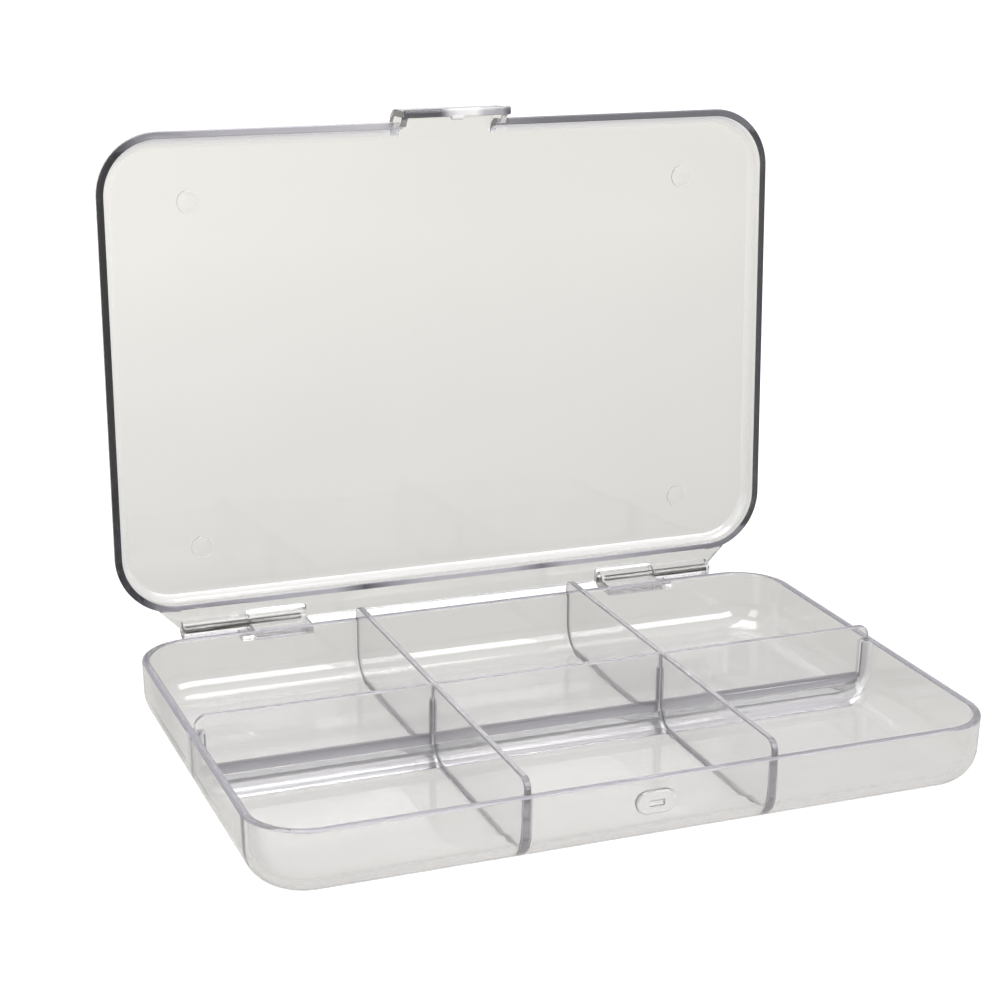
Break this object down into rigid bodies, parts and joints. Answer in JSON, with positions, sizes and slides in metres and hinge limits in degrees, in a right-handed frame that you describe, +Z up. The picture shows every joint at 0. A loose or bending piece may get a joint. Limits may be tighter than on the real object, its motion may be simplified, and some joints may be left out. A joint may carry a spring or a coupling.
{
  "type": "parts organizer",
  "caption": "Flat clear plastic box with a hinged lid, moulded dividers, steel hinge pins and a snap latch at the front.",
  "frame": {"origin": "centre of the flat underside of the tray, on the surface it rests on", "axes": "+Z up, +X to the right along the long side, -Y to the front where the latch is, +Y to the hinge; drawn with the lid open"},
  "size_m": [0.1678, 0.127, 0.1354],
  "materials": {
    "clear_plastic": "clear polished polystyrene",
    "pin_steel": "drawn wire"
  },
  "bodies": {
    "tray": {"tray": "clear_plastic", "hinge_pin_left": "pin_steel", "hinge_pin_right": "pin_steel"},
    "lid": {"lid": "clear_plastic"}
  },
  "joints": [
    {"name": "lid_hinge", "type": "hinge", "parent": "tray", "child": "lid", "pos_m": [0, 0.0606, 0.0152], "axis": [-1, 0, 0], "range_deg": [-92.5, 0]}
  ]
}
